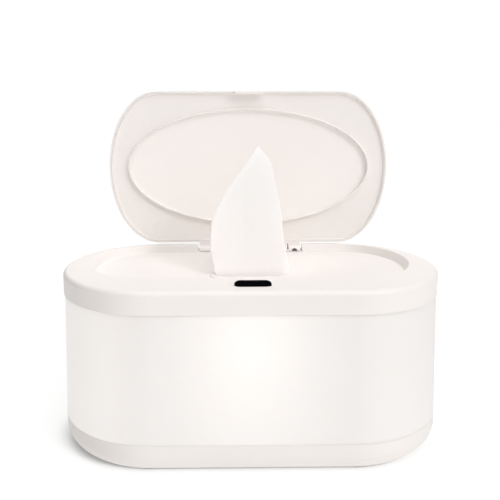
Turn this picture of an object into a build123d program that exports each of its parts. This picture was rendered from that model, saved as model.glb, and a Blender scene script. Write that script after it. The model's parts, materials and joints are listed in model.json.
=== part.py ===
from build123d import *
import os
import math

os.makedirs("parts", exist_ok=True)

# Baby wipe warmer with a pop-up lid. Millimetres.
# Frame: origin at the centre of the footprint on the floor, +X to the right,
# +Y to the rear (the lid's hinge side), +Z up. The lid is drawn standing open.

# ------------------------------------------------------------------ driving dimensions
body_straight = 68.0        # half-length of the straight front and back
body_end = 67.0             # run-out of each oval end along X
body_half_depth = 90.0      # half of the front-to-back size
foot_height = 1.2           # gap under the base
base_top = 20.6             # top edge of the base band
shell_bottom = 20.65
shell_top = 108.35
cover_bottom = 108.4        # lower edge of the top band
cover_top = 124.0           # flat rim
shell_inset = 0.8           # the translucent shell stands in from the top band
draft = 0.013               # mould draft, the shell is wider at its foot
base_off = shell_inset - draft * (cover_bottom - base_top)

rim_fillet = 3.2
base_fillet = 12.6

deck_z = 118.0              # floor of the lid recess
deck_wall = 2.2
rec_top = (76.5, 41.5, 63.8)     # recess mouth: straight half, end run-out, half depth
rec_bot = (75.0, 39.4, 62.3)     # recess floor
rec_y = 18.4                # centre of the recess

dish_y = 17.4               # centre of the dish and of the lid's oval seal
dish_floor = 111.6
slot_y = 18.0               # centre of the dispensing slot
slot_len = 56.0
slot_w = 14.0

lid = (73.1, 39.0, 61.25)   # lid outline: straight half, end run-out, half depth
lid_y = 18.25
lid_under = 118.3           # lowest edge of the closed lid
lid_over = 123.9            # top of the closed lid
hinge_y = 85.5
hinge_z = 119.5
barrel_r = 3.2
barrel_x0 = -40.3            # left and right ends of the tongue and its barrel
barrel_x1 = 42.5
notch_x0 = -41.4
notch_x1 = 44.0

tub_w, tub_d, tub_r = 216.0, 128.0, 40.0
tub_bottom = 34.0
tub_flange = 104.4
flange_t = 2.0
latch_z = 114.4

# The lid is described as if closed and placed standing open by this plane:
# closed (x, y, z) goes to (x, hinge_y + z - hinge_z, hinge_z - y + hinge_y).
LID = Plane(origin=(0, hinge_y - hinge_z, hinge_y + hinge_z), x_dir=(1, 0, 0), z_dir=(0, 1, 0))


def oval(straight, end, half, cy=0.0, mode=Mode.ADD):
    """Straight front and back joined by half-ellipse ends."""
    with BuildLine(Plane.XY) as outline:
        Line((-straight, cy - half), (straight, cy - half))
        EllipticalCenterArc((straight, cy), end, half, start_angle=-90, arc_size=180)
        Line((straight, cy + half), (-straight, cy + half))
        EllipticalCenterArc((-straight, cy), end, half, start_angle=90, arc_size=180)
    make_face(outline.edges(), mode=mode)


def body_plan(off, mode=Mode.ADD):
    """Body outline, moved in by off."""
    oval(body_straight, body_end - off, body_half_depth - off, mode=mode)


def shell_off(z):
    return shell_inset - draft * (cover_bottom - z)


def save(builder, name):
    builder.part.label = name
    export_step(builder.part, "parts/" + name + ".step")


post_xy = [(118, 0), (-118, 0), (70, 76), (-70, 76), (70, -76), (-70, -76)]
foot_xy = [(80, 48), (-80, 48), (80, -48), (-80, -48)]
cover_screw_xy = [(124.5, 12), (-124.5, 12), (88, 70), (-88, 70), (88, -70), (-88, -70)]

# ================================================================== housing
# ---- base tray: the lower band with its rounded foot
with BuildPart() as base_void:
    with BuildSketch(Plane.XY.offset(foot_height + 2.4)):
        body_plan(2.1)
    extrude(amount=30)
    fillet(base_void.edges().group_by(Axis.Z)[0], radius=base_fillet - 2.5)

with BuildPart() as base_tray:
    with BuildSketch(Plane.XY.offset(foot_height)):
        body_plan(base_off)
    extrude(amount=base_top - foot_height)
    fillet(base_tray.edges().group_by(Axis.Z)[0], radius=base_fillet)
    fillet(base_tray.edges().group_by(Axis.Z)[-1], radius=0.15)
    add(base_void.part, mode=Mode.SUBTRACT)
    # register lip that stands up inside the shell
    with BuildSketch(Plane.XY.offset(14.5)):
        body_plan(1.5)
        body_plan(3.4, mode=Mode.SUBTRACT)
    extrude(amount=base_top - 0.6 - 14.5)
    with BuildSketch(Plane.XY.offset(base_top - 0.7)):
        body_plan(2.15)
        body_plan(3.4, mode=Mode.SUBTRACT)
    extrude(amount=3.6)
    # screw bosses
    with BuildSketch(Plane.XY.offset(foot_height + 1.0)):
        with Locations(*post_xy):
            Circle(6.0)
    extrude(amount=24.0 - foot_height - 1.0)
    # pillars under the insulation pad
    with BuildSketch(Plane.XY.offset(foot_height + 1.0)):
        with Locations((66, 30), (-66, 30), (66, -30), (-66, -30)):
            Circle(6.0)
        with Locations((66, 30), (-66, 30), (66, -30), (-66, -30)):
            Rectangle(26, 1.8)
            Rectangle(1.8, 26)
    extrude(amount=26.1 - foot_height - 1.0)
    # card slots for the control board
    with BuildSketch(Plane.XY.offset(foot_height + 1.0)):
        with Locations((43, 77.2), (-43, 77.2)):
            Rectangle(5, 7)
    extrude(amount=16.0 - foot_height - 1.0)
    with BuildSketch(Plane.XY.offset(8.0)):
        with Locations((0, 77.2)):
            Rectangle(92.2, 1.7)
    extrude(amount=10, mode=Mode.SUBTRACT)
    # counterbores for the screw heads and clearance holes
    with BuildSketch(Plane.XY):
        with Locations(*post_xy):
            Circle(3.7)
    extrude(amount=7.2, mode=Mode.SUBTRACT)
    with BuildSketch(Plane.XY):
        with Locations(*post_xy):
            Circle(1.7)
    extrude(amount=40, mode=Mode.SUBTRACT)
    # shallow seats for the feet
    with BuildSketch(Plane.XY.offset(foot_height - 0.01)):
        with Locations(*foot_xy):
            Circle(9.1)
    extrude(amount=0.91, mode=Mode.SUBTRACT)
    # air vents through the floor, in the middle
    with BuildSketch(Plane.XY):
        with GridLocations(9, 0, 7, 1):
            SlotOverall(24, 2.4, rotation=90)
    extrude(amount=10, mode=Mode.SUBTRACT)
save(base_tray, "base_tray")

# ---- four rubber feet
with BuildPart() as rubber_feet:
    with BuildSketch(Plane.XY):
        with Locations(*foot_xy):
            Circle(9.0)
    extrude(amount=foot_height + 0.9)
    chamfer(rubber_feet.edges().group_by(Axis.Z)[0], length=0.5)
save(rubber_feet, "rubber_feet")

# ---- screws that draw the base up to the tub's posts
with BuildPart() as base_screws:
    with BuildSketch(Plane.XY.offset(4.9)):
        with Locations(*post_xy):
            Circle(3.3)
    extrude(amount=2.3)
    with BuildSketch(Plane.XY.offset(4.9)):
        with Locations(*post_xy):
            Rectangle(4.2, 0.9)
            Rectangle(0.9, 4.2)
    extrude(amount=1.1, mode=Mode.SUBTRACT)
    with BuildSketch(Plane.XY.offset(7.1)):
        with Locations(*post_xy):
            Circle(1.4)
    extrude(amount=29)
save(base_screws, "base_screws")

# ---- translucent outer shell, an open oval tube with a ledge for the tub
with BuildPart() as shell_void:
    with BuildSketch(Plane.XY.offset(shell_bottom - 1)):
        body_plan(shell_off(shell_bottom - 1) + 2.2)
    with BuildSketch(Plane.XY.offset(shell_top + 1)):
        body_plan(shell_off(shell_top + 1) + 2.2)
    loft(ruled=True)

jack_x, jack_z = -34.0, 34.0
button_x, button_z = 34.0, 34.0
with BuildPart() as outer_shell:
    with BuildSketch(Plane.XY.offset(shell_bottom)):
        body_plan(shell_off(shell_bottom))
    with BuildSketch(Plane.XY.offset(shell_top)):
        body_plan(shell_off(shell_top))
    loft(ruled=True)
    fillet(outer_shell.edges().group_by(Axis.Z)[0] + outer_shell.edges().group_by(Axis.Z)[-1], radius=0.12)
    add(shell_void.part, mode=Mode.SUBTRACT)
    # ledge for the tub's flange
    with BuildSketch(Plane.XY.offset(tub_flange - 2.4)):
        body_plan(2.2)
        body_plan(6.6, mode=Mode.SUBTRACT)
    extrude(amount=2.4)
    # rear holes for the power inlet and the button
    with BuildSketch(Plane((0, 80, 0), x_dir=(1, 0, 0), z_dir=(0, 1, 0))):
        with Locations((jack_x, -jack_z)):
            Circle(4.3)
        with Locations((button_x, -button_z)):
            Circle(6.6)
    extrude(amount=20, mode=Mode.SUBTRACT)
save(outer_shell, "outer_shell")

# ---- tub that holds the wipes, with its flange, posts and board clips
with BuildPart() as tub_void:
    with BuildSketch(Plane.XY.offset(tub_bottom + 2.0)):
        RectangleRounded(tub_w - 3.6, tub_d - 3.6, tub_r - 1.8)
    extrude(amount=90)
    fillet(tub_void.edges().group_by(Axis.Z)[0], radius=4.2)

with BuildPart() as inner_tub:
    with BuildSketch(Plane.XY.offset(tub_bottom)):
        RectangleRounded(tub_w, tub_d, tub_r)
    extrude(amount=tub_flange - tub_bottom)
    fillet(inner_tub.edges().group_by(Axis.Z)[0], radius=6.0)
    with BuildSketch(Plane.XY.offset(tub_flange)):
        body_plan(3.4)
    extrude(amount=flange_t)
    with BuildSketch(Plane.XY.offset(24.1)):
        with Locations(*post_xy):
            Circle(4.2)
    extrude(amount=tub_flange - 24.1 + 0.5)
    # clips that hold the night light board
    with BuildSketch(Plane.XY.offset(86.5)):
        with Locations((31.5, -79.8), (-31.5, -79.8)):
            Rectangle(5, 5.6)
    extrude(amount=tub_flange - 86.5 + 0.5)
    with BuildSketch(Plane.XY.offset(88)):
        with Locations((0, -79.8)):
            Rectangle(62.2, 1.7)
    extrude(amount=14, mode=Mode.SUBTRACT)
    add(tub_void.part, mode=Mode.SUBTRACT)
    with BuildSketch(Plane.XY.offset(20)):
        with Locations(*post_xy):
            Circle(1.4)
    extrude(amount=24, mode=Mode.SUBTRACT)
save(inner_tub, "inner_tub")

# ---- part-used stack of folded wipes
with BuildPart() as wipe_stack:
    with BuildSketch(Plane.XY.offset(tub_bottom + 2.0)):
        RectangleRounded(188, 104, 12)
    extrude(amount=40)
    fillet(wipe_stack.edges().group_by(Axis.Z)[-1], radius=3)
    chamfer(wipe_stack.edges().group_by(Axis.Z)[0], length=4.3)
save(wipe_stack, "wipe_stack")

# ---- heater stack under the tub
with BuildPart() as heater_plate:
    with BuildSketch(Plane.XY.offset(tub_bottom - 1.5)):
        RectangleRounded(186, 100, 22)
    extrude(amount=1.5)
save(heater_plate, "heater_plate")

with BuildPart() as heater_film:
    with BuildSketch(Plane.XY.offset(tub_bottom - 1.9)):
        RectangleRounded(176, 90, 18)
    extrude(amount=0.4)
save(heater_film, "heater_film")

with BuildPart() as insulation_pad:
    with BuildSketch(Plane.XY.offset(26.1)):
        RectangleRounded(186, 100, 22)
        with Locations((-40, 0)):
            Circle(8.0, mode=Mode.SUBTRACT)
        with Locations((40, 0)):
            SlotOverall(30, 7, mode=Mode.SUBTRACT)
    extrude(amount=tub_bottom - 1.9 - 26.1)
save(insulation_pad, "insulation_pad")

with BuildPart() as thermostat:
    with BuildSketch(Plane.XY.offset(27.4)):
        with Locations((-40, 0)):
            Circle(6.2)
    extrude(amount=tub_bottom - 1.9 - 27.4)
    chamfer(thermostat.edges().group_by(Axis.Z)[0], length=0.6)
    with BuildSketch(Plane.XY.offset(24.2)):
        with Locations((-43, 0), (-37, 0)):
            Rectangle(0.8, 4)
    extrude(amount=4)
save(thermostat, "thermostat")

with BuildPart() as thermal_fuse:
    with BuildSketch(Plane((34.5, 0, 30.2), x_dir=(0, 1, 0), z_dir=(1, 0, 0))):
        Circle(1.9)
    extrude(amount=11)
    with BuildSketch(Plane((28, 0, 30.2), x_dir=(0, 1, 0), z_dir=(1, 0, 0))):
        Circle(0.4)
    extrude(amount=24)
save(thermal_fuse, "thermal_fuse")

# ---- control board at the rear
REAR = Plane((0, 0, 0), x_dir=(1, 0, 0), z_dir=(0, 1, 0))     # sketch y runs down
with BuildPart() as control_board:
    with BuildSketch(REAR.offset(76.4)):
        with Locations((0, -32.0)):
            Rectangle(92, 47.6)
    extrude(amount=1.6)
save(control_board, "control_board")

with BuildPart() as board_components:
    # relay, driver chip, two capacitors, two connectors, on the side facing the tub
    with BuildSketch(REAR.offset(68.4)):
        with Locations((-30, -36)):
            Rectangle(15, 19)
    extrude(amount=8)
    with BuildSketch(REAR.offset(74.8)):
        with Locations((0, -38)):
            Rectangle(9, 9)
        with Locations((16, -30)):
            Rectangle(5, 6)
    extrude(amount=1.6)
    with BuildSketch(REAR.offset(67.4)):
        with Locations((-12, -46), (-12, -32)):
            Circle(3.6)
    extrude(amount=9)
    with BuildSketch(REAR.offset(70.4)):
        with Locations((16, -15), (-14, -15)):
            Rectangle(10, 6)
        with Locations((32, -46)):
            Rectangle(12, 6)
    extrude(amount=6)
save(board_components, "board_components")

with BuildPart() as tact_switch:
    with BuildSketch(REAR.offset(78.0)):
        with Locations((button_x, -button_z)):
            Rectangle(6.2, 6.2)
    extrude(amount=3.4)
    with BuildSketch(REAR.offset(81.3)):
        with Locations((button_x, -button_z)):
            Circle(1.7)
    extrude(amount=1.0)
save(tact_switch, "tact_switch")

with BuildPart() as power_button:
    with BuildSketch(REAR.offset(87.0)):
        with Locations((button_x, -button_z)):
            Circle(6.2)
    extrude(amount=3.1)
    fillet(power_button.edges().group_by(Axis.Y)[-1], radius=0.6)
    with BuildSketch(REAR.offset(86.2)):
        with Locations((button_x, -button_z)):
            Circle(7.4)
    extrude(amount=1.2)
    with BuildSketch(REAR.offset(83.6)):
        with Locations((button_x, -button_z)):
            Circle(2.2)
    extrude(amount=3.0)
save(power_button, "power_button")

with BuildPart() as power_jack:
    with BuildSketch(REAR.offset(78.0)):
        with Locations((jack_x, -jack_z)):
            Rectangle(9.4, 10)
    extrude(amount=9.4)
    with BuildSketch(REAR.offset(87.2)):
        with Locations((jack_x, -jack_z)):
            Circle(4.0)
    extrude(amount=2.8)
    with BuildSketch(REAR.offset(80.5)):
        with Locations((jack_x, -jack_z)):
            Circle(2.8)
            Circle(1.0, mode=Mode.SUBTRACT)
    extrude(amount=12, mode=Mode.SUBTRACT)
    with BuildSketch(REAR.offset(89.0)):
        with Locations((jack_x, -jack_z)):
            Circle(1.0)
    extrude(amount=3, mode=Mode.SUBTRACT)
save(power_jack, "power_jack")

# ---- electrical contacts between the tub's flange and the top
contact_x = [-9, -3, 3, 9]
with BuildPart() as contact_pads:
    with BuildSketch(Plane.XY.offset(tub_flange + flange_t)):
        with Locations(*[(x, 76) for x in contact_x]):
            Rectangle(4, 6)
    extrude(amount=0.4)
save(contact_pads, "contact_pads")

# ---- night light board behind the front of the shell
with BuildPart() as night_light_board:
    with BuildSketch(REAR.offset(-80.6)):
        with Locations((0, -95.0)):
            Rectangle(62, 13)
    extrude(amount=1.6)
save(night_light_board, "night_light_board")

with BuildPart() as night_light_leds:
    with BuildSketch(REAR.offset(-82.0)):
        with Locations(*[(x, -97) for x in (-25, -15, -5, 5, 15, 25)]):
            Rectangle(3.5, 2.8)
    extrude(amount=1.4)
save(night_light_leds, "night_light_leds")


# ---- leads: round cable along straight runs joined by tangent arcs
def lead(points, radius_scale=0.45):
    pts = [Vector(*p) for p in points]
    radii = []
    for i in range(1, len(pts) - 1):
        a, b = pts[i] - pts[i - 1], pts[i + 1] - pts[i]
        turn = math.radians(a.get_angle(b))
        radii.append(radius_scale * min(a.length, b.length) / math.tan(turn / 2))
    return pts, radii


heater_pts = [(16, 70.4, 15), (16, 64.6, 15), (17.6, 58.6, 14.4), (21.6, 52.8, 14.8), (26, 47.2, 17.4),
              (29.2, 40.6, 20.6), (30.2, 33.2, 22.6), (29.4, 25.8, 23.2)]
hp, hr = lead(heater_pts)
print("heater lead arc radii", [round(r, 1) for r in hr])
with BuildPart() as heater_leads:
    with BuildLine() as heater_path:
        FilletPolyline(*hp, radius=hr)
    with BuildSketch(Plane(origin=hp[0], z_dir=(hp[1] - hp[0]).normalized())):
        Circle(1.3)
    sweep(path=heater_path.line)
heater_len = sum(e.length for e in heater_path.edges())
print("heater lead length", round(heater_len, 1), "volume ratio",
      round(heater_leads.part.volume / (math.pi * 1.3 ** 2 * heater_len), 4))
save(heater_leads, "heater_leads")

light_pts = [(-14, 70.4, 15), (-14, 65.4, 15), (-17.4, 61.2, 14.6), (-24.4, 58.8, 14.2), (-34.6, 57.6, 14.4),
             (-47.0, 57.0, 14.0), (-60.0, 55.4, 13.8), (-73.0, 51.6, 14.2), (-85.0, 43.8, 15.2), (-94.0, 32.6, 16.6),
             (-99.6, 19.0, 17.6), (-102.0, 4.0, 18.2), (-101.4, -11.6, 18.4), (-97.2, -26.4, 18.6), (-89.6, -39.4, 19.4),
             (-79.0, -49.6, 21.2), (-67.0, -57.4, 24.6), (-55.6, -63.4, 30.6), (-46.0, -67.6, 39.6), (-38.0, -70.4, 50.6),
             (-30.8, -71.8, 62.0), (-24.0, -72.2, 72.4), (-18.4, -71.6, 81.0), (-15.0, -71.4, 87.4), (-14.0, -73.6, 90.8),
             (-14.0, -79.0, 91.2)]
lp, lr = lead(light_pts)
print("light lead arc radii", [round(r, 1) for r in lr])
with BuildPart() as light_leads:
    with BuildLine() as light_path:
        FilletPolyline(*lp, radius=lr)
    with BuildSketch(Plane(origin=lp[0], z_dir=(lp[1] - lp[0]).normalized())):
        Circle(1.0)
    sweep(path=light_path.line)
light_len = sum(e.length for e in light_path.edges())
print("light lead length", round(light_len, 1), "volume ratio",
      round(light_leads.part.volume / (math.pi * light_len), 4))
save(light_leads, "light_leads")

# ================================================================== top cover
# solid that fills the dish, its floor and the slot's surround
with BuildPart() as dish_cut:
    with BuildSketch(Plane.XY.offset(deck_z + 0.02)):
        with Locations((0, dish_y)):
            Ellipse(112.4, 60.0)
    with BuildSketch(Plane.XY.offset(dish_floor)):
        with Locations((0, dish_y)):
            Ellipse(40.0, 15.5)
    loft(ruled=True)

with BuildPart() as dish_skin:
    with BuildSketch(Plane.XY.offset(deck_z - deck_wall)):
        with Locations((0, dish_y)):
            Ellipse(113.4, 61.0)
    with BuildSketch(Plane.XY.offset(dish_floor - 1.8)):
        with Locations((0, dish_y)):
            Ellipse(41.0, 16.5)
    loft(ruled=True)

with BuildPart() as recess_cut:
    with BuildSketch(Plane.XY.offset(deck_z)):
        oval(rec_bot[0], rec_bot[1], rec_bot[2], rec_y)
    with BuildSketch(Plane.XY.offset(cover_top + 0.01)):
        oval(rec_top[0], rec_top[1], rec_top[2], rec_y)
    loft(ruled=True)

# hollow inside of the cover
with BuildPart() as cover_void:
    with BuildSketch(Plane.XY.offset(cover_bottom - 1)):
        body_plan(2.3)
    extrude(amount=cover_top - 2.3 - cover_bottom + 1)
    fillet(cover_void.edges().group_by(Axis.Z)[-1], radius=1.6)
    # keep the recess wall and the deck
    with BuildSketch(Plane.XY.offset(deck_z - deck_wall)):
        oval(rec_top[0], rec_top[1] + 2.2, rec_top[2] + 2.2, rec_y)
    extrude(amount=20, mode=Mode.SUBTRACT)
    # keep the dish
    add(dish_skin.part, mode=Mode.SUBTRACT)
    # keep the hinge block across the rear
    with BuildSketch(Plane.XY.offset(113.4)):
        with Locations((0, 86)):
            Rectangle(96, 13)
    extrude(amount=20, mode=Mode.SUBTRACT)
    # keep the screw bosses
    with BuildSketch(Plane.XY.offset(110.3)):
        with Locations(*cover_screw_xy):
            Circle(3.2)
    extrude(amount=20, mode=Mode.SUBTRACT)
    # keep two short studs over the sensor board
    with BuildSketch(Plane.XY.offset(121.1)):
        with Locations((13.5, -64.5), (-13.5, -64.5), (13.5, -75.5), (-13.5, -75.5)):
            Circle(1.6)
    extrude(amount=5, mode=Mode.SUBTRACT)

with BuildPart() as top_cover:
    with BuildSketch(Plane.XY.offset(cover_bottom)):
        body_plan(0)
    extrude(amount=cover_top - cover_bottom)
    fillet(top_cover.edges().group_by(Axis.Z)[-1], radius=rim_fillet)
    fillet(top_cover.edges().group_by(Axis.Z)[0], radius=0.15)
    add(recess_cut.part, mode=Mode.SUBTRACT)
    fillet(top_cover.edges().filter_by_position(Axis.Z, cover_top - 0.05, cover_top + 0.05)
           .filter_by(lambda e: e.center().Y > 0 and abs(e.center().X) < 1 or e.bounding_box().max.X < 119 and e.bounding_box().min.X > -119),
           radius=1.0)
    add(dish_cut.part, mode=Mode.SUBTRACT)
    add(cover_void.part, mode=Mode.SUBTRACT)
    # dispensing slot
    with BuildSketch(Plane.XY.offset(100)):
        with Locations((0, slot_y)):
            SlotOverall(slot_len, slot_w)
    extrude(amount=20, mode=Mode.SUBTRACT)
    # hinge notch
    with BuildSketch(Plane.XY.offset(115.9)):
        with Locations(((notch_x0 + notch_x1) / 2, 90.15)):
            Rectangle(notch_x1 - notch_x0, 16.2)
    extrude(amount=20, mode=Mode.SUBTRACT)
    with BuildSketch(Plane.XY.offset(deck_z)):
        with Locations(((notch_x0 + notch_x1) / 2, 86.5)):
            Rectangle(notch_x1 - notch_x0, 15)
    extrude(amount=20, mode=Mode.SUBTRACT)
    # hinge pin and damper shaft holes in the notch's end walls
    with BuildSketch(Plane((30, hinge_y, hinge_z), x_dir=(0, 1, 0), z_dir=(1, 0, 0))):
        Circle(1.2)
    extrude(amount=18.0, mode=Mode.SUBTRACT)
    with BuildSketch(Plane((-30, hinge_y, hinge_z), x_dir=(0, 1, 0), z_dir=(-1, 0, 0))):
        Circle(1.2)
    extrude(amount=16.4, mode=Mode.SUBTRACT)
    # slot for the lid's catch
    with BuildSketch(Plane.XY.offset(113)):
        with Locations((0, -41.85)):
            Rectangle(24.2, 4.1)
    extrude(amount=6, mode=Mode.SUBTRACT)
    # seat and light hole of the sensor window
    with BuildSketch(Plane.XY.offset(123.2)):
        with Locations((0, -70.8)):
            SlotOverall(24.6, 8.8)
    extrude(amount=3, mode=Mode.SUBTRACT)
    with BuildSketch(Plane.XY.offset(120)):
        with Locations((0, -70.8)):
            SlotOverall(20, 4.6)
    extrude(amount=6, mode=Mode.SUBTRACT)
    # screw holes
    with BuildSketch(Plane.XY.offset(109)):
        with Locations(*cover_screw_xy):
            Circle(1.1)
    extrude(amount=7.0, mode=Mode.SUBTRACT)
save(top_cover, "top_cover")

# ---- liner that closes the underside of the cover
with BuildPart() as cover_liner:
    with BuildSketch(Plane.XY.offset(108.5)):
        body_plan(2.6)
    extrude(amount=1.8)
    with BuildSketch(Plane.XY.offset(106.9)):
        body_plan(3.6)
        body_plan(5.0, mode=Mode.SUBTRACT)
    extrude(amount=1.8)
    # guide ribs for the latch bolt and a cradle for the solenoid
    with BuildSketch(Plane.XY.offset(110.2)):
        with Locations((8.3, -54), (-8.3, -54)):
            Rectangle(1.6, 14)
        with Locations((10.4, -74), (-10.4, -74)):
            Rectangle(1.6, 14)
    extrude(amount=5.2)
    with BuildSketch(Plane.XY.offset(100)):
        with Locations((0, dish_y)):
            Ellipse(64, 28)
        with Locations(*[(x, 76) for x in contact_x]):
            Circle(1.0)
    extrude(amount=20, mode=Mode.SUBTRACT)
    with BuildSketch(Plane.XY.offset(100)):
        with Locations(*cover_screw_xy):
            Circle(1.3)
    extrude(amount=20, mode=Mode.SUBTRACT)
    with BuildSketch(Plane.XY.offset(108.4)):
        with Locations(*cover_screw_xy):
            Circle(2.7)
    extrude(amount=1.0, mode=Mode.SUBTRACT)
save(cover_liner, "cover_liner")

with BuildPart() as cover_screws:
    with BuildSketch(Plane.XY.offset(108.5)):
        with Locations(*cover_screw_xy):
            Circle(2.5)
    extrude(amount=0.9)
    with BuildSketch(Plane.XY.offset(108.4)):
        with Locations(*cover_screw_xy):
            Rectangle(3.2, 0.7)
            Rectangle(0.7, 3.2)
    extrude(amount=0.6, mode=Mode.SUBTRACT)
    with BuildSketch(Plane.XY.offset(109.3)):
        with Locations(*cover_screw_xy):
            Circle(1.1)
    extrude(amount=5.9)
save(cover_screws, "cover_screws")

# ---- soft ring that seals the tub's mouth
with BuildPart() as tub_seal:
    with BuildSketch(Plane.XY.offset(106.8)):
        RectangleRounded(222, 134, 43)
        RectangleRounded(215, 127, 39.5, mode=Mode.SUBTRACT)
    extrude(amount=1.7)
    fillet(tub_seal.edges().group_by(Axis.Z)[0], radius=0.7)
save(tub_seal, "tub_seal")

# ---- soft ring in the dispensing slot
with BuildPart() as slot_ring:
    with BuildSketch(Plane.XY.offset(109.0)):
        with Locations((0, slot_y)):
            SlotOverall(slot_len + 5, slot_w + 5)
    extrude(amount=0.8)
    with BuildSketch(Plane.XY.offset(109.5)):
        with Locations((0, slot_y)):
            SlotOverall(slot_len, slot_w)
    extrude(amount=2.3)
    with BuildSketch(Plane.XY.offset(dish_floor)):
        with Locations((0, slot_y)):
            SlotOverall(slot_len + 5, slot_w + 5)
    extrude(amount=0.8)
    fillet(slot_ring.edges().group_by(Axis.Z)[-1], radius=0.5)
    with BuildSketch(Plane.XY.offset(100)):
        with Locations((0, slot_y)):
            SlotOverall(slot_len - 6, slot_w - 2)
    extrude(amount=20, mode=Mode.SUBTRACT)
    fillet(slot_ring.edges().group_by(Axis.Z)[-1].sort_by(SortBy.LENGTH)[:2], radius=0.25)
save(slot_ring, "slot_ring")

with BuildPart() as contact_pins:
    with BuildSketch(Plane.XY.offset(107.1)):
        with Locations(*[(x, 76) for x in contact_x]):
            Circle(0.7)
    extrude(amount=2)
    with BuildSketch(Plane.XY.offset(108.3)):
        with Locations(*[(x, 76) for x in contact_x]):
            Circle(1.0)
    extrude(amount=2.6)
save(contact_pins, "contact_pins")

# ---- touch-free sensor in the front of the rim
sensor_y = -70.8
with BuildPart() as sensor_window:
    with BuildSketch(Plane.XY.offset(123.2)):
        with Locations((0, sensor_y)):
            SlotOverall(24.6, 8.8)
    extrude(amount=5)
    split(bisect_by=Plane(origin=(0, sensor_y, 125.6), z_dir=(0, -math.sin(math.radians(16)), math.cos(math.radians(16)))),
          keep=Keep.BOTTOM)
    fillet(sensor_window.edges().filter_by(lambda e: e.center().Z > 124.2 and e.bounding_box().size.X > 3.5
                                           and e.bounding_box().min.Z > 124.2), radius=0.45)
    with BuildSketch(Plane.XY.offset(123.1)):
        with Locations((0, sensor_y)):
            SlotOverall(20, 4.6)
    extrude(amount=1.0, mode=Mode.SUBTRACT)
save(sensor_window, "sensor_window")

with BuildPart() as sensor_board:
    with BuildSketch(Plane.XY.offset(119.5)):
        with Locations((0, -70)):
            Rectangle(34, 15)
    extrude(amount=1.6)
save(sensor_board, "sensor_board")


with BuildPart() as ir_emitter:
    with BuildSketch(Plane.XY.offset(121.1)):
        with Locations((-5.5, sensor_y)):
            Circle(1.9)
    extrude(amount=0.8)
    with BuildSketch(Plane.XY.offset(121.8)):
        with Locations((-5.5, sensor_y)):
            Circle(1.5)
    extrude(amount=2.1)
    fillet(ir_emitter.edges().group_by(Axis.Z)[-1], radius=1.2)
save(ir_emitter, "ir_emitter")

with BuildPart() as ir_receiver:
    with BuildSketch(Plane.XY.offset(121.1)):
        with Locations((5.5, sensor_y)):
            Circle(1.9)
    extrude(amount=0.8)
    with BuildSketch(Plane.XY.offset(121.8)):
        with Locations((5.5, sensor_y)):
            Circle(1.5)
    extrude(amount=2.1)
    fillet(ir_receiver.edges().group_by(Axis.Z)[-1], radius=1.2)
save(ir_receiver, "ir_receiver")

# ---- latch: solenoid, plunger, spring and bolt, along Y under the rim
bolt_nose = -40.0
with BuildPart() as latch_solenoid:
    with BuildSketch(REAR.offset(-82.0)):
        with Locations((0, -latch_z)):
            Rectangle(18, 8.2)
    extrude(amount=16)
    chamfer(latch_solenoid.edges().filter_by(Axis.Y), length=0.6)
    with BuildSketch(REAR.offset(-83)):
        with Locations((0, -latch_z)):
            Circle(2.45)
    extrude(amount=18, mode=Mode.SUBTRACT)
save(latch_solenoid, "latch_solenoid")

with BuildPart() as solenoid_plunger:
    with BuildSketch(REAR.offset(-78.5)):
        with Locations((0, -latch_z)):
            Circle(2.4)
    extrude(amount=18.5)
save(solenoid_plunger, "solenoid_plunger")

with BuildPart() as latch_bolt:
    with BuildSketch(REAR.offset(-60.0)):
        with Locations((0, -latch_z)):
            Rectangle(14, 4.8)
    extrude(amount=9)
    with BuildSketch(REAR.offset(-52)):
        with Locations((0, -latch_z)):
            Rectangle(10, 1.8)
    extrude(amount=12.0)
    # bevelled nose that the catch rides over
    chamfer(latch_bolt.edges().filter_by(Axis.X).sort_by(Axis.Y)[-2:].sort_by(Axis.Z)[-1], length=1.3)
save(latch_bolt, "latch_bolt")

with BuildPart() as latch_spring:
    with BuildLine() as bolt_coil:
        Helix(pitch=1.15, height=5.2, radius=2.9, center=(0, -65.6, latch_z), direction=(0, 1, 0))
    with BuildSketch(Plane(origin=bolt_coil.edges()[0] @ 0, z_dir=bolt_coil.edges()[0] % 0)):
        Circle(0.25)
    sweep(path=bolt_coil.edges()[0], is_frenet=True)
save(latch_spring, "latch_spring")

# ---- hinge hardware
with BuildPart() as hinge_pin:
    with BuildSketch(Plane((-26, hinge_y, hinge_z), x_dir=(0, 1, 0), z_dir=(1, 0, 0))):
        Circle(1.2)
    extrude(amount=74)
save(hinge_pin, "hinge_pin")

with BuildPart() as damper_shaft:
    with BuildSketch(Plane((-46.2, hinge_y, hinge_z), x_dir=(0, 1, 0), z_dir=(1, 0, 0))):
        Circle(1.2)
    extrude(amount=5.4)
    with BuildSketch(Plane((-41, hinge_y, hinge_z), x_dir=(0, 1, 0), z_dir=(1, 0, 0))):
        Circle(1.0)
    extrude(amount=9.5)
save(damper_shaft, "damper_shaft")

with BuildPart() as hinge_damper:
    with BuildSketch(Plane((-40.3, hinge_y, hinge_z), x_dir=(0, 1, 0), z_dir=(1, 0, 0))):
        Circle(2.3)
    extrude(amount=11.3)
    with BuildSketch(Plane((-41, hinge_y, hinge_z), x_dir=(0, 1, 0), z_dir=(1, 0, 0))):
        Circle(1.05)
    extrude(amount=10.5, mode=Mode.SUBTRACT)
save(hinge_damper, "hinge_damper")

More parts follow.
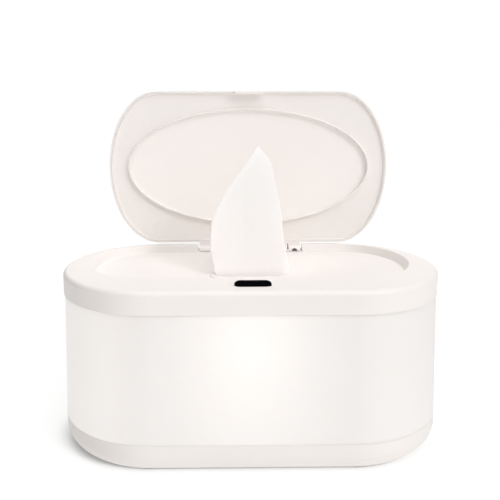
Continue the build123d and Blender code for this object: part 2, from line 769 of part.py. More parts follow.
spring_x = 32.5
spring_len = 6.65
spring_coil = Helix(pitch=0.95, height=spring_len, radius=1.8, center=(spring_x, hinge_y, hinge_z),
                    direction=(1, 0, 0)).rotate(Axis((spring_x, hinge_y, hinge_z), (1, 0, 0)), 90)
with BuildPart() as hinge_spring:
    with BuildSketch(Plane(origin=spring_coil @ 0, z_dir=spring_coil % 0)):
        Circle(0.3)
    sweep(path=spring_coil, is_frenet=True)
    # leg that rises in front of the tongue and hooks back into its window
    with BuildSketch(Plane(origin=spring_coil @ 0, z_dir=-(spring_coil % 0))):
        Circle(0.3)
    extrude(amount=4.95)
    with BuildSketch(REAR.offset(hinge_y - 1.8)):
        with Locations((spring_x - 0.38, -(hinge_z + 4.6))):
            Circle(0.24)
    extrude(amount=2.4)
    # leg that stands on the floor of the notch
    with BuildSketch(Plane(origin=spring_coil @ 1, z_dir=spring_coil % 1)):
        Circle(0.3)
    extrude(amount=3.5)
save(hinge_spring, "hinge_spring")

# ---- wipe standing in the slot
with BuildPart() as wipe_sheet:
    with BuildSketch(REAR.offset(18.5)):
        with BuildLine():
            Polyline((-22.5, -98.0), (22.5, -98.0), (23.0, -113.4), (29.6, -118.5), (30.3, -124.0), (27.5, -142.0),
                     (25.0, -160.0), (20.5, -186.0), (15.5, -199.0), (6.0, -208.5), (-3.0, -196.0), (-8.5, -186.0),
                     (-20.5, -163.0), (-27.5, -149.0), (-30.0, -140.0), (-28.5, -124.0), (-23.0, -113.4), close=True)
        make_face()
    extrude(amount=3.0)
save(wipe_sheet, "wipe_sheet")

# ================================================================== lid, placed by LID
with BuildPart() as lid_void:
    with BuildSketch(LID.offset(lid_under - 1)):
        oval(lid[0], lid[1] - 1.6, lid[2] - 1.6, lid_y)
    extrude(amount=lid_over - 1.8 - lid_under + 1)

with BuildPart() as lid_outer:
    with BuildSketch(LID.offset(lid_under)):
        oval(lid[0], lid[1], lid[2], lid_y)
    extrude(amount=lid_over - lid_under)
    fillet(lid_outer.edges().group_by(Axis.Y)[-1], radius=2.8)
    fillet(lid_outer.edges().group_by(Axis.Y)[0], radius=0.4)
    add(lid_void.part, mode=Mode.SUBTRACT)
    # tongue from the rear edge to the hinge barrel
    with BuildSketch(LID.offset(lid_under + 0.1)):
        with Locations(((barrel_x0 + barrel_x1) / 2, 82.0)):
            Rectangle(barrel_x1 - barrel_x0, 7.4)
    extrude(amount=3.2)
    with BuildSketch(Plane((barrel_x0, hinge_y, hinge_z), x_dir=(0, 1, 0), z_dir=(1, 0, 0))):
        Circle(barrel_r)
    extrude(amount=barrel_x1 - barrel_x0)
    # bores for the spring, the pin and the damper
    with BuildSketch(Plane((31.6, hinge_y, hinge_z), x_dir=(0, 1, 0), z_dir=(1, 0, 0))):
        Circle(2.5)
    extrude(amount=9.0, mode=Mode.SUBTRACT)
    with BuildSketch(Plane((-27, hinge_y, hinge_z), x_dir=(0, 1, 0), z_dir=(1, 0, 0))):
        Circle(1.25)
    extrude(amount=74, mode=Mode.SUBTRACT)
    with BuildSketch(Plane((-41, hinge_y, hinge_z), x_dir=(0, 1, 0), z_dir=(1, 0, 0))):
        Circle(2.3)
    extrude(amount=12.0, mode=Mode.SUBTRACT)
    # domed opening in the front of the barrel, and its open underside, for the standing leg
    with BuildSketch(REAR.offset(hinge_y - 6)):
        with Locations((37.9, -118.4)):
            Circle(2.35)
        with Locations((37.9, -116.4)):
            Rectangle(4.7, 4.0)
    extrude(amount=6, mode=Mode.SUBTRACT)
    with BuildSketch(REAR.offset(hinge_y - 6)):
        with Locations((37.9, -115.8)):
            Rectangle(4.7, 4.0)
    extrude(amount=12, mode=Mode.SUBTRACT)
    # slot in the tongue and barrel for the hooked leg
    with BuildSketch(REAR.offset(hinge_y - 6)):
        with Locations((32.2, -122.4)):
            SlotOverall(5.4, 1.3, rotation=90)
    extrude(amount=9, mode=Mode.SUBTRACT)
    # seat for the catch
    with BuildSketch(LID.offset(lid_under - 1)):
        with Locations((0, -42.0)):
            Rectangle(22.6, 3.0)
    extrude(amount=2.9, mode=Mode.SUBTRACT)
save(lid_outer, "lid_outer")

with BuildPart() as pan_cut:
    with BuildSketch(LID.offset(lid_under + 0.05)):
        oval(lid[0], lid[1] - 2.15, lid[2] - 2.15, lid_y)
    with BuildSketch(LID.offset(lid_under + 2.1)):
        oval(lid[0], lid[1] - 2.75, lid[2] - 2.75, lid_y)
    loft(ruled=True)

with BuildPart() as lid_inner:
    with BuildSketch(LID.offset(lid_under + 0.1)):
        oval(lid[0], lid[1] - 1.75, lid[2] - 1.75, lid_y)
    extrude(amount=lid_over - 1.8 - lid_under - 0.1)
    add(pan_cut.part, mode=Mode.SUBTRACT)
    # groove for the oval seal
    with BuildSketch(LID.offset(lid_under + 2.0)):
        with Locations((0, dish_y)):
            Ellipse(97.3, 46.9)
            Ellipse(95.5, 45.1, mode=Mode.SUBTRACT)
    extrude(amount=0.8, mode=Mode.SUBTRACT)
    # seat for the catch
    with BuildSketch(LID.offset(lid_under - 1)):
        with Locations((0, -42.0)):
            Rectangle(22.6, 3.0)
    extrude(amount=2.9, mode=Mode.SUBTRACT)
save(lid_inner, "lid_inner")

with BuildPart() as lid_seal:
    with BuildSketch(LID.offset(116.8)):
        with Locations((0, dish_y)):
            Ellipse(97.3, 46.9)
            Ellipse(95.5, 45.1, mode=Mode.SUBTRACT)
    extrude(amount=lid_under + 2.8 - 116.8)
    fillet(lid_seal.edges().group_by(Axis.Y)[0], radius=0.8)
save(lid_seal, "lid_seal")

with BuildPart() as latch_catch:
    with BuildSketch(LID.offset(112.4)):
        with Locations((0, -41.7)):
            Rectangle(22.6, 2.4)
    extrude(amount=lid_under + 1.9 - 112.4)
    fillet(latch_catch.edges().group_by(Axis.Y)[0], radius=0.7)
    with BuildSketch(LID.offset(113.4)):
        with Locations((0, -41.7)):
            Rectangle(18.6, 6)
    extrude(amount=3.4, mode=Mode.SUBTRACT)
save(latch_catch, "latch_catch")
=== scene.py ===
import bpy
import bmesh
import json
import math
from mathutils import Matrix, Vector


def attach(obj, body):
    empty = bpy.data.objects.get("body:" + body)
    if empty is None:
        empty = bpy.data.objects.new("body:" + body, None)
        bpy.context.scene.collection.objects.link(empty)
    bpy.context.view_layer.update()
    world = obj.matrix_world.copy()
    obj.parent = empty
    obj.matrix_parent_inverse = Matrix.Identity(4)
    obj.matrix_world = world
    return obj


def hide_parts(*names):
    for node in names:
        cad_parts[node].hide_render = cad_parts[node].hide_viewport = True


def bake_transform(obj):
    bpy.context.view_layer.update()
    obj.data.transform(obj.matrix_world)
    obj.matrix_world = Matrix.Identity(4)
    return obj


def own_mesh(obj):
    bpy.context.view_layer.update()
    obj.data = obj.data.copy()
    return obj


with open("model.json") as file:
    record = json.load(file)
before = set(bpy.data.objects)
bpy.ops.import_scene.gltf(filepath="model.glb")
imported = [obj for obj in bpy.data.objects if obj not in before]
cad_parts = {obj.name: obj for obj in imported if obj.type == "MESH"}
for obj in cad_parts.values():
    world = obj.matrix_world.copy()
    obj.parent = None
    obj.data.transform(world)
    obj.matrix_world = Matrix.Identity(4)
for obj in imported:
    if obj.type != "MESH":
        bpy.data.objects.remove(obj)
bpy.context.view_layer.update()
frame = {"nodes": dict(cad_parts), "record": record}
NODES = frame["nodes"]
scene = bpy.context.scene
scene.view_settings.view_transform = "Standard"
scene.view_settings.look = "None"
scene.view_settings.exposure = 0.0
scene.view_settings.gamma = 1.0

# ------------------------------------------------------------------ camera
cam_data = bpy.data.cameras.new("camera")
cam_data.lens = 66.71
cam_data.sensor_width = 36.0
cam_data.clip_start = 0.01
cam_data.clip_end = 20.0
cam = bpy.data.objects.new("camera", cam_data)
scene.collection.objects.link(cam)
cam.location = (-0.0143, -0.6652, 0.2573)
cam.rotation_euler = (math.radians(90.0 - 10.449), 0.0, math.radians(-1.19))
scene.camera = cam


# ------------------------------------------------------------------ material kit
class Mat:
    """A node material on one Principled shader, with object coordinates in metres."""

    def __init__(self, name):
        self.m = bpy.data.materials.new(name)
        self.m.use_nodes = True
        self.t = self.m.node_tree
        self.t.nodes.clear()
        self.out = self.t.nodes.new("ShaderNodeOutputMaterial")
        self.p = self.t.nodes.new("ShaderNodeBsdfPrincipled")
        self.t.links.new(self.p.outputs[0], self.out.inputs[0])
        self.co = self.t.nodes.new("ShaderNodeTexCoord").outputs["Object"]

    def set(self, **kw):
        for k, v in kw.items():
            self.p.inputs[k.replace("_", " ")].default_value = v
        return self

    def link(self, out, name):
        self.t.links.new(out, self.p.inputs[name])
        return self

    def node(self, kind, **kw):
        n = self.t.nodes.new(kind)
        for k, v in kw.items():
            setattr(n, k, v)
        return n

    def put(self, socket, value):
        if isinstance(value, (int, float, tuple, list)):
            socket.default_value = value
        else:
            self.t.links.new(value, socket)

    def math(self, op, a, b=0.0, c=0.0, clamp=False):
        n = self.node("ShaderNodeMath", operation=op, use_clamp=clamp)
        for i, v in enumerate((a, b, c)):
            self.put(n.inputs[i], v)
        return n.outputs[0]

    def vmath(self, op, a, b=(0.0, 0.0, 0.0), scale=None):
        n = self.node("ShaderNodeVectorMath", operation=op)
        self.put(n.inputs[0], a)
        self.put(n.inputs[1], b)
        if scale is not None:
            self.put(n.inputs["Scale"], scale)
        return n.outputs["Value"] if op in ("LENGTH", "DOT_PRODUCT", "DISTANCE") else n.outputs["Vector"]

    def noise(self, scale, detail=2.0, rough=0.5, co=None, w=None):
        n = self.node("ShaderNodeTexNoise")
        n.inputs["Scale"].default_value = scale
        n.inputs["Detail"].default_value = detail
        n.inputs["Roughness"].default_value = rough
        self.put(n.inputs["Vector"], co if co is not None else self.co)
        return n.outputs["Fac"]

    def voronoi(self, scale, feature="F1", co=None, out="Distance"):
        n = self.node("ShaderNodeTexVoronoi", feature=feature)
        n.inputs["Scale"].default_value = scale
        self.put(n.inputs["Vector"], co if co is not None else self.co)
        return n.outputs[out]

    def ramp(self, fac, stops, interpolation="LINEAR"):
        n = self.node("ShaderNodeValToRGB")
        n.color_ramp.interpolation = interpolation
        while len(n.color_ramp.elements) < len(stops):
            n.color_ramp.elements.new(0.5)
        for e, (pos, col) in zip(n.color_ramp.elements, stops):
            e.position = pos
            e.color = col if len(col) == 4 else (*col, 1.0)
        self.put(n.inputs["Fac"], fac)
        return n.outputs["Color"]

    def maprange(self, v, a, b, c, d, smooth=False):
        n = self.node("ShaderNodeMapRange", interpolation_type="SMOOTHSTEP" if smooth else "LINEAR")
        self.put(n.inputs["Value"], v)
        for k, x in (("From Min", a), ("From Max", b), ("To Min", c), ("To Max", d)):
            self.put(n.inputs[k], x)
        return n.outputs["Result"]

    def mix(self, fac, a, b, blend="MIX"):
        n = self.node("ShaderNodeMix", data_type="RGBA", blend_type=blend)
        self.put(n.inputs[0], fac)
        self.put(n.inputs[6], a)
        self.put(n.inputs[7], b)
        return n.outputs[2]

    def sep(self, v):
        n = self.node("ShaderNodeSeparateXYZ")
        self.put(n.inputs[0], v)
        return n.outputs

    def comb(self, x, y, z):
        n = self.node("ShaderNodeCombineXYZ")
        for i, v in enumerate((x, y, z)):
            self.put(n.inputs[i], v)
        return n.outputs[0]

    def bump(self, height, distance, strength=1.0, normal=None):
        n = self.node("ShaderNodeBump")
        n.inputs["Strength"].default_value = strength
        n.inputs["Distance"].default_value = distance
        self.put(n.inputs["Height"], height)
        if normal is not None:
            self.put(n.inputs["Normal"], normal)
        return n.outputs["Normal"]


def rgba(c, k=1.0):
    return (c[0] * k, c[1] * k, c[2] * k, 1.0)


WARM = (0.905, 0.862, 0.832)


def plastic(name, color, rough=0.42, grain=2600.0, depth=0.00002, tint=0.02, spec=0.4, sss=0.0, lit=None):
    """Moulded plastic: spark-eroded grain, slow colour drift and uneven gloss."""
    m = Mat(name)
    drift = m.noise(14.0, 3.0, 0.6)
    spot = m.noise(420.0, 2.0, 0.5)
    both = m.math("ADD", m.math("MULTIPLY", drift, 0.7), m.math("MULTIPLY", spot, 0.3))
    col = m.ramp(both, [(0.3, rgba(color, 1.0 - tint)), (0.7, rgba(color, 1.0 + tint * 0.5))])
    m.link(col, "Base Color")
    r = m.maprange(m.noise(60.0, 3.0, 0.6), 0.3, 0.7, rough - 0.04, rough + 0.05)
    m.link(r, "Roughness")
    g = m.noise(grain, 2.0, 0.6)
    wave = m.noise(18.0, 1.0, 0.4)
    h = m.math("ADD", m.math("MULTIPLY", g, 1.0), m.math("MULTIPLY", wave, 1.5))
    m.link(m.bump(h, depth, 0.5), "Normal")
    m.set(Specular_IOR_Level=spec)
    if sss:
        m.set(Subsurface_Weight=sss, Subsurface_Scale=0.003, Subsurface_Radius=(1.0, 0.8, 0.7))
    # painted glow, put on as emission where a caller gives one (the lid liner's oval)
    if lit:
        m.link(m.vmath("SCALE", (1.0, 0.97, 0.945), scale=lit(m)), "Emission Color")
        m.set(Emission_Strength=1.0)
    return m.m


def make_white(name="white_abs", k=1.0, lit=None):
    return plastic(name, tuple(c * k for c in WARM), 0.45, spec=0.3, lit=lit)


def painted_oval_glow(m):
    """Painted glow on the liner inside the oval, lifting the shade on the lid's face there; the liner's oval is a
    single thin wall.
    """
    corners = [Vector(c) for c in NODES["lid_seal"].bound_box]
    x0, x1 = min(c.x for c in corners), max(c.x for c in corners)
    z0, z1 = min(c.z for c in corners), max(c.z for c in corners)
    x, y, z = m.sep(m.co)
    dx = m.math("DIVIDE", m.math("SUBTRACT", x, (x0 + x1) / 2), (x1 - x0) / 2 - 0.0009)
    dz = m.math("DIVIDE", m.math("SUBTRACT", z, (z0 + z1) / 2), (z1 - z0) / 2 - 0.0009)
    r2 = m.math("ADD", m.math("MULTIPLY", dx, dx), m.math("MULTIPLY", dz, dz))
    return m.maprange(r2, 0.97, 1.03, 0.052, 0.0)


def make_shell():
    """Opal shell: matte outside, with the night light's glow low behind its front and a painted glow on its left end.
    """
    m = Mat("translucent_shell")
    x, y, z = m.sep(m.co)

    def lobe(x0, z0, sx, sz_up, sz_dn, amp):
        dx = m.math("DIVIDE", m.math("SUBTRACT", x, x0), sx)
        dz = m.math("SUBTRACT", z, z0)
        up = m.math("DIVIDE", m.math("MAXIMUM", dz, 0.0), sz_up)
        dn = m.math("DIVIDE", m.math("MINIMUM", dz, 0.0), sz_dn)
        r2 = m.math("ADD", m.math("MULTIPLY", dx, dx), m.math("ADD", m.math("MULTIPLY", up, up), m.math("MULTIPLY", dn, dn)))
        return m.math("MULTIPLY", m.math("EXPONENT", m.math("MULTIPLY", r2, -1.0)), amp)

    g = m.math("ADD", lobe(-0.002, 0.092, 0.034, 0.030, 0.040, 0.06), lobe(-0.004, 0.085, 0.050, 0.120, 0.100, 0.12))
    front = m.maprange(y, -0.030, -0.075, 0.0, 1.0, smooth=True)
    g = m.math("MULTIPLY", g, front)
    # painted glow on the left end, standing in for the key's light coming through the shell to its shaded side
    end = m.maprange(x, -0.068, -0.108, 0.0, 0.200, smooth=True)
    g = m.math("ADD", g, end)
    warm = m.mix(m.math("MULTIPLY", g, 2.0, clamp=True), (1.0, 0.93, 0.88, 1.0), (1.0, 0.985, 0.95, 1.0))
    glow = m.vmath("SCALE", warm, scale=g)
    m.link(glow, "Emission Color")
    m.set(Emission_Strength=1.0)
    drift = m.noise(11.0, 3.0, 0.6)
    m.link(m.ramp(drift, [(0.3, rgba(WARM, 0.985)), (0.7, rgba(WARM, 1.01))]), "Base Color")
    m.link(m.maprange(m.noise(70.0, 3.0, 0.6), 0.3, 0.7, 0.42, 0.52), "Roughness")
    h = m.math("ADD", m.noise(2400.0, 2.0, 0.6), m.math("MULTIPLY", m.noise(14.0, 1.0, 0.4), 2.0))
    m.link(m.bump(h, 0.00002, 0.5), "Normal")
    m.set(Specular_IOR_Level=0.35, Subsurface_Weight=0.25, Subsurface_Scale=0.006, Subsurface_Radius=(1.0, 0.85, 0.75))
    return m.m


def metal(name, color, rough):
    m = Mat(name)
    n = m.noise(900.0, 3.0, 0.6)
    m.link(m.ramp(n, [(0.3, rgba(color, 0.85)), (0.7, rgba(color, 1.05))]), "Base Color")
    m.link(m.maprange(m.noise(200.0, 3.0, 0.6), 0.3, 0.7, rough - 0.08, rough + 0.1), "Roughness")
    m.link(m.bump(n, 0.00001, 0.5), "Normal")
    m.set(Metallic=1.0)
    return m.m


def make_cloth():
    """Moist non-woven: crossed fibres, faint clouding, and a painted glow that is stronger towards the bottom."""
    m = Mat("wipe_cloth")
    cloud = m.noise(70.0, 3.0, 0.6)
    m.link(m.ramp(cloud, [(0.3, (0.945, 0.915, 0.895, 1.0)), (0.7, (0.970, 0.942, 0.922, 1.0))]), "Base Color")
    x, y, z = m.sep(m.co)
    warp = m.comb(m.math("MULTIPLY", x, 5.0), y, z)
    weft = m.comb(x, y, m.math("MULTIPLY", z, 4.0))
    f1 = m.noise(620.0, 3.0, 0.7, co=warp)
    f2 = m.noise(700.0, 3.0, 0.7, co=weft)
    h = m.math("ADD", m.math("MAXIMUM", f1, f2), m.math("MULTIPLY", m.noise(160.0, 2.0, 0.5), 0.6))
    m.link(m.bump(h, 0.00004, 0.6), "Normal")
    m.link(m.maprange(cloud, 0.3, 0.7, 0.80, 0.92), "Roughness")
    # painted glow: emission stronger low down, lifting the shade on the lower part of the wipe and on the stack
    through = m.maprange(z, 0.112, 0.170, 0.148, 0.092)
    m.link(m.vmath("SCALE", (1.0, 0.955, 0.925), scale=through), "Emission Color")
    m.set(Specular_IOR_Level=0.25, Sheen_Weight=0.15, Subsurface_Weight=0.3, Subsurface_Scale=0.002,
          Subsurface_Radius=(1.0, 0.95, 0.9), Emission_Strength=1.0)
    return m.m


MATS = {}
MATS["white_abs"] = make_white()
# painted light: the lid's copies of the white are painted lighter, lifting the shade on its face, and the base's copy
# is painted darker to take light off it
LID_WHITE_PAINTED_LIGHTER = make_white("lid_white_painted_lighter", 1.035)
LIT_AND_SHADED_COPIES = {"lid_outer": LID_WHITE_PAINTED_LIGHTER, "lid_inner": make_white("lid_liner_painted_lighter_glow", 1.035, lit=painted_oval_glow), "latch_catch": LID_WHITE_PAINTED_LIGHTER, "base_tray": make_white("base_white_painted_darker", 0.955)}
MATS["translucent_shell"] = make_shell()
MATS["white_pom"] = plastic("white_pom", (0.86, 0.83, 0.80), 0.35)
MATS["white_pp"] = plastic("white_pp", (0.86, 0.84, 0.82), 0.40, sss=0.1)
MATS["white_silicone"] = plastic("white_silicone", (0.90, 0.86, 0.83), 0.55, grain=1800.0)
MATS["grey_rubber"] = plastic("grey_rubber", (0.045, 0.045, 0.047), 0.75, grain=1500.0)
MATS["steel"] = metal("steel", (0.62, 0.62, 0.63), 0.32)
MATS["dark_steel"] = metal("dark_steel", (0.06, 0.06, 0.065), 0.45)
MATS["wipe_cloth"] = make_cloth()
MATS["aluminium_sheet"] = metal("aluminium_sheet", (0.75, 0.76, 0.77), 0.35)
MATS["amber_film"] = plastic("amber_film", (0.45, 0.20, 0.03), 0.25)
MATS["grey_felt"] = plastic("grey_felt", (0.35, 0.35, 0.34), 0.95, grain=1200.0)
MATS["black_plastic"] = plastic("black_plastic", (0.02, 0.02, 0.022), 0.4)
MATS["board_green"] = plastic("board_green", (0.02, 0.13, 0.05), 0.3)
MATS["contact_brass"] = metal("contact_brass", (0.80, 0.62, 0.28), 0.3)
MATS["led_lens"] = plastic("led_lens", (0.90, 0.88, 0.78), 0.2)
MATS["lead_rubber"] = plastic("lead_rubber", (0.55, 0.55, 0.54), 0.6)
MATS["black_lens"] = plastic("black_lens", (0.0025, 0.0025, 0.003), 0.15, grain=300.0, depth=0.000004, spec=0.0)

for row in frame["record"]["subparts"]:
    o = NODES[row["node"]]
    o.data.materials.clear()
    o.data.materials.append(LIT_AND_SHADED_COPIES.get(row["node"], MATS[row["material_slot"]]))

# ------------------------------------------------------------------ mesh helpers
def mesh_object(name, verts, faces, material, smooth=True):
    me = bpy.data.meshes.new(name)
    me.from_pydata([tuple(v) for v in verts], [], faces)
    me.validate()
    me.update()
    bm = bmesh.new()
    bm.from_mesh(me)
    bmesh.ops.recalc_face_normals(bm, faces=bm.faces)
    bm.to_mesh(me)
    bm.free()
    if smooth:
        me.polygons.foreach_set("use_smooth", [True] * len(me.polygons))
    me.materials.append(material)
    o = bpy.data.objects.new(name, me)
    scene.collection.objects.link(o)
    return o


def catmull(points, t):
    """Value at t along knots given as (t, value), smooth and monotone enough for an outline."""
    n = len(points)
    if t <= points[0][0]:
        return points[0][1]
    if t >= points[-1][0]:
        return points[-1][1]
    i = 0
    while not (points[i][0] <= t <= points[i + 1][0]):
        i += 1
    p0 = points[max(i - 1, 0)]
    p1, p2 = points[i], points[i + 1]
    p3 = points[min(i + 2, n - 1)]
    h = p2[0] - p1[0]
    m1 = (p2[1] - p0[1]) / max(p2[0] - p0[0], 1e-9)
    m2 = (p3[1] - p1[1]) / max(p3[0] - p1[0], 1e-9)
    s = (t - p1[0]) / h
    return ((2 * s ** 3 - 3 * s ** 2 + 1) * p1[1] + (s ** 3 - 2 * s ** 2 + s) * h * m1
            + (-2 * s ** 3 + 3 * s ** 2) * p2[1] + (s ** 3 - s ** 2) * h * m2)


def bell(x, c, w):
    return math.exp(-((x - c) / w) ** 2)


# ------------------------------------------------------------------ the wipe that stands in the slot
WIPE_L = [(77.0, -23.0), (92.0, -22.9), (105.0, -22.9), (109.0, -23.4), (111.6, -24.4), (113.4, -25.9), (116.0, -27.1), (120.0, -27.7), (126.0, -29.2),
          (134.0, -30.1), (140.0, -29.9), (145.0, -29.7), (149.0, -29.4), (153.2, -28.6), (157.5, -27.1), (163.0, -24.7), (170.6, -21.1), (175.0, -18.4),
          (181.0, -14.2), (186.0, -10.5), (192.3, -5.6), (197.0, -2.3), (203.0, 1.7), (208.4, 5.2)]
WIPE_R = [(77.0, 24.0), (92.0, 23.4), (105.0, 23.2), (109.0, 23.6), (111.6, 24.6), (113.4, 26.6), (116.0, 28.1), (119.0, 28.6), (122.0, 28.3), (127.0, 27.0),
          (132.0, 25.8), (142.0, 24.1), (160.0, 22.3), (173.0, 19.9), (186.0, 17.1), (192.3, 15.9), (196.6, 14.7), (201.0, 12.3), (205.3, 8.2), (208.4, 6.0)]


def make_wipe():
    """A moist wipe drawn up through the slot, still folded in three: near layer, middle layer and far layer joined by soft folds."""
    rows, per = 118, 46
    turn = 9
    z0, z1 = 77.0, 208.4
    cols = 3 * per + 2 * turn
    verts, grid = [], []
    for r in range(rows + 1):
        v = r / rows
        z = z0 + (z1 - z0) * (1 - (1 - v) ** 1.12)
        left, right = catmull(WIPE_L, z), catmull(WIPE_R, z)
        up = max(0.0, (z - 112.0) / 96.0)
        open_up = min(1.0, max(0.0, (z - 111.0) / 26.0))
        gap = 0.75 + 0.95 * open_up * (1 - 0.55 * up)
        # a short way down from the tip the layers meet
        gap *= min(1.0, 0.35 + (z1 - z) / 26.0)
        lean = 19.2 + 2.6 * up ** 1.4 - 0.8 * bell(z, 150, 26)
        line = []

        def wave(x):
            # one soft fold down the middle, the right half stands nearer
            w = -0.75 * math.tanh((x + 2.0 + 0.03 * (z - 160.0)) / 5.5) * open_up * (0.45 + 0.55 * bell(z, 150, 40))
            w += 0.38 * math.sin((x + 6.0) / 8.4 + 0.018 * (z - 112)) * (0.25 + 0.75 * open_up) * (1 - 0.35 * up)
            w += 0.10 * math.sin((x - 11.0) / 4.6 - 0.031 * (z - 100)) * bell(x, 17.0, 12.0)
            w += -0.9 * bell(x, left, 4.0) * open_up + 0.5 * bell(x, right, 3.0) * open_up
            w += 0.25 * math.sin(z / 19.0 + 0.6) * bell(x, -18.0, 12.0) * open_up
            # gathered where the lips of the slot hold it
            w += 0.35 * math.sin(x / 3.6 + 0.8) * bell(z, 103.0, 7.0) * (0.55 + 0.45 * math.sin(x / 11.0))
            return w

        wid = right - left
        for k in range(3):
            a = left + (0.0, 0.5, 1.6)[k] * min(1.0, wid / 20.0)
            b = right - (0.0, 0.3, 2.2)[k] * min(1.0, wid / 20.0)
            if k == 1:
                a, b = b, a
            n = per
            for i in range(n):
                t = i / (n - 1)
                x = a + (b - a) * t
                y = lean + (k - 1) * gap + wave(x) * (1.0, 0.82, 0.62)[k] + 0.06 * (k - 1) * math.sin(x / 5.0 + z / 21.0)
                line.append((x, y, z))
            if k < 2:
                # soft fold joining this layer to the next
                x_end, y_end = line[-1][0], line[-1][1]
                nx = (right - 0.3 * min(1.0, wid / 20.0)) if k == 0 else (left + 1.6 * min(1.0, wid / 20.0))
                y_next = lean + k * gap + wave(nx) * (0.82, 0.62)[k] + 0.06 * k * math.sin(nx / 5.0 + z / 21.0)
                side = 1.0 if k == 0 else -1.0
                rad = 0.5 * abs(y_next - y_end) * 0.9
                for i in range(1, turn + 1):
                    f = i / (turn + 1)
                    ph = math.pi * f
                    x = x_end + (nx - x_end) * f + side * min(rad, 0.9, wid / 8.0) * math.sin(ph)
                    y = y_end + (y_next - y_end) * (1 - math.cos(ph)) / 2
                    line.append((x, y, z))
        # the free top edge runs at a slant; all three layers end at the same height
        grid.append([len(verts) + i for i in range(len(line))])
        verts += [(x / 1000, y / 1000, zz / 1000) for x, y, zz in line]
    faces = []
    for r in range(rows):
        for c in range(len(grid[0]) - 1):
            faces.append((grid[r][c], grid[r][c + 1], grid[r + 1][c + 1], grid[r + 1][c]))
    o = mesh_object("standing_wipe", verts, faces, MATS["wipe_cloth"])
    # small slack in the cloth
    me = o.data
    for v in me.vertices:
        x, y, z = v.co * 1000
        v.co.y += (0.035 * math.sin(x * 0.9 + z * 0.31) * math.sin(z * 0.23 - x * 0.17) + 0.015 * math.sin(z * 0.71 + x * 0.4)) / 1000
    sol = o.modifiers.new("thickness", "SOLIDIFY")
    sol.thickness = 0.00034
    sol.offset = 0.0
    bpy.context.view_layer.objects.active = o
    o.select_set(True)
    bpy.ops.object.modifier_apply(modifier=sol.name)
    o.select_set(False)
    o.data.polygons.foreach_set("use_smooth", [True] * len(o.data.polygons))
    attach(o, "top")
    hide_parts("wipe_sheet")
    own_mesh(o)
    return o


def rounded_rect(w, d, r, n):
    """n points round a rounded rectangle, evenly spaced, starting at the middle of its front."""
    segs = []
    hw, hd = w / 2, d / 2
    total = 2 * (w - 2 * r) + 2 * (d - 2 * r) + 2 * math.pi * r
    pts = []
    for i in range(n):
        s = total * i / n
        parts = [("l", (0, -hd), (hw - r, -hd)), ("a", (hw - r, -hd + r), -90), ("l", (hw, -hd + r), (hw, hd - r)), ("a", (hw - r, hd - r), 0),
                 ("l", (hw - r, hd), (-hw + r, hd)), ("a", (-hw + r, hd - r), 90), ("l", (-hw, hd - r), (-hw, -hd + r)), ("a", (-hw + r, -hd + r), 180),
                 ("l", (-hw + r, -hd), (0, -hd))]
        for kind, a, b in parts:
            ln = math.hypot(b[0] - a[0], b[1] - a[1]) if kind == "l" else math.pi * r / 2
            if s <= ln + 1e-12:
                if kind == "l":
                    f = s / ln if ln else 0
                    pts.append((a[0] + (b[0] - a[0]) * f, a[1] + (b[1] - a[1]) * f))
                else:
                    ang = math.radians(b + 90 * s / ln)
                    pts.append((a[0] + r * math.cos(ang), a[1] + r * math.sin(ang)))
                break
            s -= ln
        else:
            pts.append((0, -hd))
    return pts


def make_stack():
    """The part-used stack: interleaved wipes, each a soft folded layer, with a dip where the last ones were drawn."""
    z_lo, z_hi = 36.2, 75.8
    layers = 22
    n = 176
    verts, faces, rings = [], [], []
    rnd = 7
    def rand():
        nonlocal rnd
        rnd = (rnd * 1103515245 + 12345) % (1 << 31)
        return rnd / (1 << 31) - 0.5
    th = (z_hi - z_lo) / layers
    for k in range(layers):
        ox, oy = rand() * 1.2, rand() * 1.4
        w, d = 185.5 + rand() * 1.4, 101.0 + rand() * 1.2
        base = z_lo + k * th
        low = k == 0
        for (fz, inset) in ((0.04, 1.0), (0.2, 0.18), (0.5, 0.0), (0.8, 0.18), (0.96, 1.0)):
            ins = inset * 1.05 + (3.6 * max(0.0, 1 - (base + fz * th - z_lo) / 4.0))
            ring = []
            for (x, y) in rounded_rect(w - 2 * ins, d - 2 * ins, 9.0, n):
                a = math.atan2(y, x)
                wob = 0.16 * math.sin(7 * a + k * 1.7) + 0.12 * math.sin(15 * a - k * 2.3)
                x2, y2 = x + ox + wob * math.cos(a), y + oy + wob * math.sin(a)
                ring.append(len(verts))
                verts.append((x2, y2, base + fz * th + 0.10 * math.sin(3 * a + k)))
            rings.append(ring)
    # top surface: rings that shrink to the middle, sagging to the slot
    top = rings[-1]
    last = [verts[i] for i in top]
    steps = 26
    for s in range(1, steps):
        f = s / steps
        ring = []
        for (x, y, z) in last:
            x2, y2 = x * (1 - f), y * (1 - f)
            z2 = 75.9 + 0.05 - 1.9 * math.exp(-((x2 - 1) / 34.0) ** 2 - ((y2 - 18) / 13.0) ** 2)
            z2 += 0.22 * math.sin(x2 / 13.0 + 0.5 * math.sin(y2 / 9.0)) * min(1.0, f * 5) + 0.16 * math.sin(y2 / 6.0 + x2 / 31.0) * min(1.0, f * 5)
            ring.append(len(verts))
            verts.append((x2, y2, min(z2, 76.0)))
        rings.append(ring)
    for a, b in zip(rings, rings[1:]):
        for i in range(n):
            j = (i + 1) % n
            faces.append((a[i], a[j], b[j], b[i]))
    c = len(verts)
    verts.append((0.0, 0.0, 75.2))
    for i in range(n):
        faces.append((rings[-1][i], rings[-1][(i + 1) % n], c))
    faces.append(tuple(reversed(rings[0])))
    o = mesh_object("folded_wipes", [(x / 1000, y / 1000, z / 1000) for x, y, z in verts], faces, MATS["wipe_cloth"])
    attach(o, "housing")
    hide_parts("wipe_stack")
    return o


make_wipe()
make_stack()

